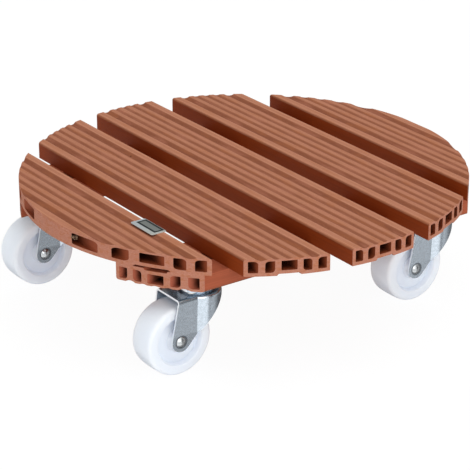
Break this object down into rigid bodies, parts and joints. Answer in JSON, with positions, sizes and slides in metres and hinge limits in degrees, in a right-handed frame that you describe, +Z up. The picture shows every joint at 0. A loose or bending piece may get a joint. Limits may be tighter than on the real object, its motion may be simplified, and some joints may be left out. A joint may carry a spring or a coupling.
{
  "type": "plant pot caddy",
  "caption": "Round rolling stand for a plant pot: spaced hollow ribbed deck boards on crossbeams, with small swivel castors under the beams.",
  "frame": {"origin": "on the floor, under the middle of the round deck", "axes": "+Z up; +X along the deck boards, to the right; +Y along the crossbeams, to the back"},
  "size_m": [0.3306, 0.3306, 0.0906],
  "materials": {
    "deck_composite": "matt wood-plastic composite, ribbed",
    "beam_composite": "matt wood-plastic composite",
    "zinc_steel": "bright zinc plate on pressed steel",
    "rivet_steel": "bright zinc plate",
    "ball_steel": "polished and greased",
    "screw_steel": "zinc plate",
    "wheel_nylon": "translucent natural nylon, satin"
  },
  "bodies": {
    "deck": {"deck_board_1": "deck_composite", "deck_board_2": "deck_composite", "deck_board_3": "deck_composite", "deck_board_4": "deck_composite", "deck_board_5": "deck_composite", "crossbeam_left": "beam_composite", "crossbeam_right": "beam_composite", "deck_screws_left": "screw_steel", "deck_screws_right": "screw_steel", "castor_front_left_plate": "zinc_steel", "castor_front_left_king_pin": "zinc_steel", "castor_front_left_washer": "zinc_steel", "castor_front_left_balls": "ball_steel", "castor_front_left_screws": "screw_steel", "castor_front_right_plate": "zinc_steel", "castor_front_right_king_pin": "zinc_steel", "castor_front_right_washer": "zinc_steel", "castor_front_right_balls": "ball_steel", "castor_front_right_screws": "screw_steel", "castor_back_left_plate": "zinc_steel", "castor_back_left_king_pin": "zinc_steel", "castor_back_left_washer": "zinc_steel", "castor_back_left_balls": "ball_steel", "castor_back_left_screws": "screw_steel", "castor_back_right_plate": "zinc_steel", "castor_back_right_king_pin": "zinc_steel", "castor_back_right_washer": "zinc_steel", "castor_back_right_balls": "ball_steel", "castor_back_right_screws": "screw_steel"},
    "fork_front_left": {"castor_front_left_fork": "zinc_steel", "castor_front_left_ball_race": "zinc_steel", "castor_front_left_axle_rivet": "rivet_steel", "castor_front_left_axle_sleeve": "zinc_steel"},
    "wheel_front_left": {"castor_front_left_wheel": "wheel_nylon"},
    "fork_front_right": {"castor_front_right_fork": "zinc_steel", "castor_front_right_ball_race": "zinc_steel", "castor_front_right_axle_rivet": "rivet_steel", "castor_front_right_axle_sleeve": "zinc_steel"},
    "wheel_front_right": {"castor_front_right_wheel": "wheel_nylon"},
    "fork_back_left": {"castor_back_left_fork": "zinc_steel", "castor_back_left_ball_race": "zinc_steel", "castor_back_left_axle_rivet": "rivet_steel", "castor_back_left_axle_sleeve": "zinc_steel"},
    "wheel_back_left": {"castor_back_left_wheel": "wheel_nylon"},
    "fork_back_right": {"castor_back_right_fork": "zinc_steel", "castor_back_right_ball_race": "zinc_steel", "castor_back_right_axle_rivet": "rivet_steel", "castor_back_right_axle_sleeve": "zinc_steel"},
    "wheel_back_right": {"castor_back_right_wheel": "wheel_nylon"}
  },
  "joints": [
    {"name": "swivel_front_left", "type": "hinge", "parent": "deck", "child": "fork_front_left", "pos_m": [-0.091, -0.1037, 0.0572], "axis": [0, 0, 1], "continuous": true},
    {"name": "wheel_spin_front_left", "type": "hinge", "parent": "fork_front_left", "child": "wheel_front_left", "pos_m": [-0.091, -0.1257, 0.0257], "axis": [1, 0, 0], "continuous": true},
    {"name": "swivel_front_right", "type": "hinge", "parent": "deck", "child": "fork_front_right", "pos_m": [0.091, -0.1037, 0.0572], "axis": [0, 0, 1], "continuous": true},
    {"name": "wheel_spin_front_right", "type": "hinge", "parent": "fork_front_right", "child": "wheel_front_right", "pos_m": [0.091, -0.1257, 0.0257], "axis": [1, 0, 0], "continuous": true},
    {"name": "swivel_back_left", "type": "hinge", "parent": "deck", "child": "fork_back_left", "pos_m": [-0.091, 0.1037, 0.0572], "axis": [0, 0, 1], "continuous": true},
    {"name": "wheel_spin_back_left", "type": "hinge", "parent": "fork_back_left", "child": "wheel_back_left", "pos_m": [-0.091, 0.0817, 0.0257], "axis": [1, 0, 0], "continuous": true},
    {"name": "swivel_back_right", "type": "hinge", "parent": "deck", "child": "fork_back_right", "pos_m": [0.091, 0.1037, 0.0572], "axis": [0, 0, 1], "continuous": true},
    {"name": "wheel_spin_back_right", "type": "hinge", "parent": "fork_back_right", "child": "wheel_back_right", "pos_m": [0.091, 0.0817, 0.0257], "axis": [1, 0, 0], "continuous": true}
  ]
}
